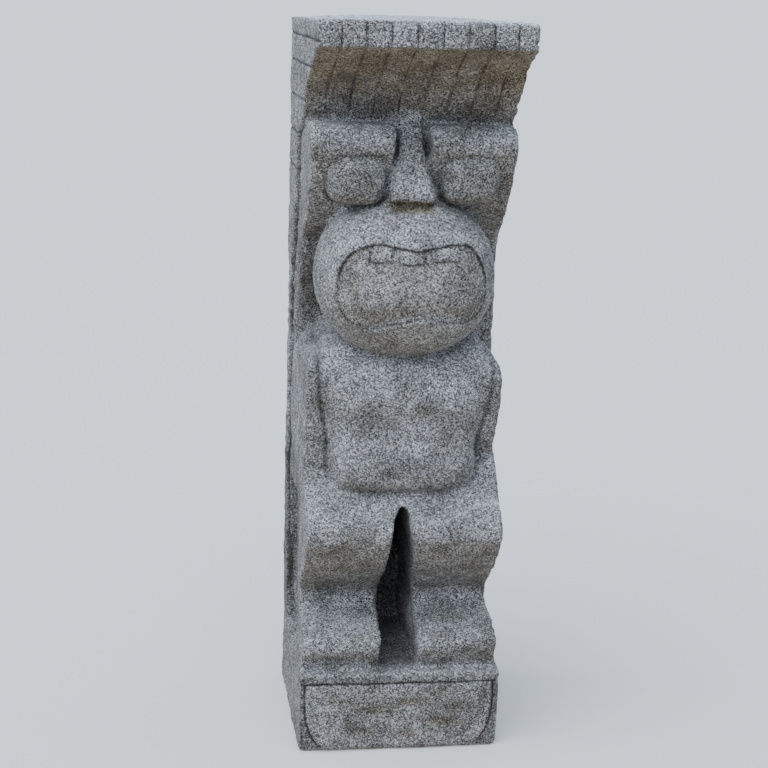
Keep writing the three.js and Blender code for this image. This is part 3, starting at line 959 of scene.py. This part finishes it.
def makeStone():
    material = bpy.data.materials.new("peckedAndesite")
    material.use_nodes = True
    tree = material.node_tree
    shader = tree.nodes["Principled BSDF"]
    place = addNode(tree, "ShaderNodeTexCoord").outputs["Object"]
    scaleOf = (lambda size: 1 / (size * mm))

    # crystals: each cell of a Voronoi pattern has one tone
    cells = addNode(tree, "ShaderNodeTexVoronoi", {"Vector": place, "Scale": scaleOf(stone["grain"])})
    tone = addNode(tree, "ShaderNodeSeparateColor", {"Color": cells.outputs["Color"]})
    coarse = addNode(tree, "ShaderNodeValToRGB", {"Fac": tone.outputs["Red"]}, stops=[
        (0.0, "#050404"), (0.22, "#171616"), (0.38, "#5b5b5c"), (0.64, "#9d9fa1"), (0.76, "#ffffff")])
    small = addNode(tree, "ShaderNodeTexVoronoi", {"Vector": place, "Scale": scaleOf(stone["fineGrain"])})
    smallTone = addNode(tree, "ShaderNodeSeparateColor", {"Color": small.outputs["Color"]})
    fine = addNode(tree, "ShaderNodeValToRGB", {"Fac": smallTone.outputs["Green"]}, stops=[
        (0.0, "#090808"), (0.26, "#2b2a2b"), (0.5, "#838486"), (0.78, "#eff0f2"), (1.0, "#ffffff")])
    grains = addNode(tree, "ShaderNodeMix", {"Factor": stone["fineShare"], "A": coarse.outputs["Color"],
                                              "B": fine.outputs["Color"]},
                     data_type="RGBA")
    # one crystal in twenty shines white
    bright = addNode(tree, "ShaderNodeTexVoronoi", {"Vector": place, "Scale": scaleOf(stone["sparkle"])})
    brightTone = addNode(tree, "ShaderNodeSeparateColor", {"Color": bright.outputs["Color"]})
    shining = addNode(tree, "ShaderNodeMath", {0: brightTone.outputs["Red"], 1: 1 - stone["sparkling"]},
                      operation="GREATER_THAN")
    sparkling = addNode(tree, "ShaderNodeMix", {"Factor": shining.outputs[0], "A": grains.outputs[2],
                                                "B": linear("#ffffff")}, data_type="RGBA")
    # a few large pale crystals, each with a soft edge
    large = addNode(tree, "ShaderNodeTexVoronoi", {"Vector": place, "Scale": scaleOf(stone["inclusion"])})
    pick = addNode(tree, "ShaderNodeSeparateColor", {"Color": large.outputs["Color"]})
    chosen = addNode(tree, "ShaderNodeMath", {0: pick.outputs["Blue"], 1: 1 - stone["included"]},
                     operation="GREATER_THAN")
    core = addNode(tree, "ShaderNodeMapRange", {"Value": large.outputs["Distance"], "From Min": 0.42,
                                                "From Max": 0.2, "To Max": 0.75})
    amount = addNode(tree, "ShaderNodeMath", {0: chosen.outputs[0], 1: core.outputs[0]},
                     operation="MULTIPLY")
    spotted = addNode(tree, "ShaderNodeMix", {"Factor": amount.outputs[0], "A": sparkling.outputs[2],
                                              "B": linear("#e9ebee")}, data_type="RGBA")
    # slow clouds of lighter and darker, browner stone
    cloud = addNode(tree, "ShaderNodeTexNoise", {"Vector": place, "Scale": scaleOf(stone["cloud"]),
                                                 "Detail": 4.0, "Roughness": 0.65})
    clouded = addNode(tree, "ShaderNodeValToRGB", {"Fac": cloud.outputs["Fac"]}, stops=[
        (0.3, "#a19e9a"), (0.7, "#eaecf0")])
    ground = addNode(tree, "ShaderNodeMix", {"Factor": 1.0, "A": spotted.outputs[2],
                                             "B": clouded.outputs["Color"]},
                     data_type="RGBA", blend_type="MULTIPLY")
    # brown stain and painted shade, pale weathering and painted light, and dirt and painted shade, from
    # the mesh's own attributes
    stainAndShadeRead = addNode(tree, "ShaderNodeAttribute", attribute_name="stainAndShade")
    stainAndShadeTone = addNode(tree, "ShaderNodeMix", {"Factor": stainAndShadeRead.outputs["Fac"], "A": linear("#ffffff"),
                                                "B": linear("#e2d5b8")}, data_type="RGBA")
    stainedAndShaded = addNode(tree, "ShaderNodeMix", {"Factor": 1.0, "A": ground.outputs[2],
                                              "B": stainAndShadeTone.outputs[2]},
                      data_type="RGBA", blend_type="MULTIPLY")
    bleachAndLightRead = addNode(tree, "ShaderNodeAttribute", attribute_name="bleachAndLight")
    paler = addNode(tree, "ShaderNodeMix", {"Factor": bleachAndLightRead.outputs["Fac"], "A": stainedAndShaded.outputs[2],
                                            "B": linear("#c6ccd4")}, data_type="RGBA", blend_type="DODGE")
    dirtAndShadeRead = addNode(tree, "ShaderNodeAttribute", attribute_name="dirtAndShade")
    dirtAndShadeTone = addNode(tree, "ShaderNodeMix", {"Factor": dirtAndShadeRead.outputs["Fac"], "A": linear("#ffffff"),
                                               "B": linear("#5a5550")}, data_type="RGBA")
    final = addNode(tree, "ShaderNodeMix", {"Factor": 1.0, "A": paler.outputs[2],
                                            "B": dirtAndShadeTone.outputs[2]},
                    data_type="RGBA", blend_type="MULTIPLY")
    tree.links.new(final.outputs[2], shader.inputs["Base Color"])
    shader.inputs["Roughness"].default_value = stone["roughness"]
    # pores and standing crystals
    pores = addNode(tree, "ShaderNodeTexNoise", {"Vector": place, "Scale": scaleOf(stone["pore"] * 2),
                                                 "Detail": 2.0})
    height = addNode(tree, "ShaderNodeMath", {0: tone.outputs["Red"], 1: 0.35, 2: pores.outputs["Fac"]},
                     operation="MULTIPLY_ADD")
    bump = addNode(tree, "ShaderNodeBump", {"Height": height.outputs[0], "Strength": stone["bump"],
                                             "Distance": stone["bumpHeight"] * mm})
    tree.links.new(bump.outputs["Normal"], shader.inputs["Normal"])
    return material


fewer.materials.clear()
fewer.materials.append(makeStone())
print("stone")


# Floor: plain, pale and matt. It is flat to start with, and far behind it rises with the square of
# the distance, so that no horizon shows.
floorShape = {
    "reach": 400,          # metres
    "flat": 20,
    "rise": 0.0001,        # metres for each square metre of distance past the flat part
}


def makeFloor(reach, flat, rise):
    mesh = bpy.data.meshes.new("floor")
    y = np.linspace(-reach, reach, 161)
    z = rise * np.maximum(y - flat, 0) ** 2
    sides = [np.stack([0 * y + x, y, z], axis=1) for x in (-reach, reach)]
    i = np.arange(len(y) - 1)
    faces = np.stack([i, i + len(y), i + len(y) + 1, i + 1], axis=1)
    mesh.from_pydata(np.concatenate(sides), [], faces.tolist())
    floor = bpy.data.objects.new("floor", mesh)
    bpy.context.scene.collection.objects.link(floor)
    material = bpy.data.materials.new("paleMattFloor")
    material.use_nodes = True
    shader = material.node_tree.nodes["Principled BSDF"]
    shader.inputs["Base Color"].default_value = linear("#f2f1ef")
    shader.inputs["Roughness"].default_value = 0.9
    mesh.materials.append(material)
    floor.visible_diffuse = False  # the dim lower half of the room lights the undersides instead


# Soft studio light: a wide lamp high on the left, and a room that is pale above and dim below.
light = {
    "room": [(0.0, "#dcd3c6"), (0.5, "#b3b6bb"), (0.62, "#c3d1e2"), (1.0, "#dcecff")],
    "roomStrength": 1.0,
    "lampStrength": 3.3,
    "lampColor": "#f1f6ff",
    "lampAngle": 75,
    "lampFrom": (-0.5, -0.55, 0.9),
}


def makeLight():
    room = bpy.data.worlds.new("studio")
    room.use_nodes = True
    bpy.context.scene.world = room
    tree = room.node_tree
    place = addNode(tree, "ShaderNodeTexCoord").outputs["Generated"]
    split = addNode(tree, "ShaderNodeSeparateXYZ", {"Vector": place})
    half = addNode(tree, "ShaderNodeMath", {0: split.outputs["Z"], 1: 0.5, 2: 0.5},
                   operation="MULTIPLY_ADD")
    tones = addNode(tree, "ShaderNodeValToRGB", {"Fac": half.outputs[0]}, stops=light["room"])
    background = tree.nodes["Background"]
    tree.links.new(tones.outputs["Color"], background.inputs["Color"])
    background.inputs["Strength"].default_value = light["roomStrength"]
    lamp = bpy.data.lights.new("softLamp", "SUN")
    lamp.energy = light["lampStrength"]
    lamp.color = linear(light["lampColor"])[:3]
    lamp.angle = math.radians(light["lampAngle"])
    holder = bpy.data.objects.new("softLamp", lamp)
    holder.rotation_mode = "QUATERNION"
    holder.rotation_quaternion = Vector(light["lampFrom"]).to_track_quat("Z", "Y")
    bpy.context.scene.collection.objects.link(holder)


# The camera stands a little above the statue and to its left, and looks down at it. Angles are in
# radians, and the place in metres.
view = {
    "yaw": 0.1444,
    "pitch": 0.2233,
    "roll": 0.0267,
    "focus": 1732.5,       # in pixels
    "width": 768,          # of the picture, in pixels
    "place": (-0.3558, -2.3622, 1.0340),
}


def makeCamera():
    yaw, pitch, roll = view["yaw"], view["pitch"], view["roll"]
    ahead = Vector((math.sin(yaw) * math.cos(pitch), math.cos(yaw) * math.cos(pitch), -math.sin(pitch)))
    level = ahead.cross(Vector((0, 0, 1))).normalized()
    over = level.cross(ahead)
    sideways = math.cos(roll) * level + math.sin(roll) * over
    upwards = math.cos(roll) * over - math.sin(roll) * level
    camera = bpy.data.cameras.new("camera")
    camera.sensor_width = 36
    camera.clip_end = 2000
    camera.lens = view["focus"] / view["width"] * camera.sensor_width
    holder = bpy.data.objects.new("camera", camera)
    turn = Matrix((sideways, upwards, -ahead)).transposed().to_4x4()
    turn.translation = view["place"]
    holder.matrix_world = turn
    bpy.context.scene.collection.objects.link(holder)
    bpy.context.scene.camera = holder


makeFloor(**floorShape)
makeLight()
makeCamera()
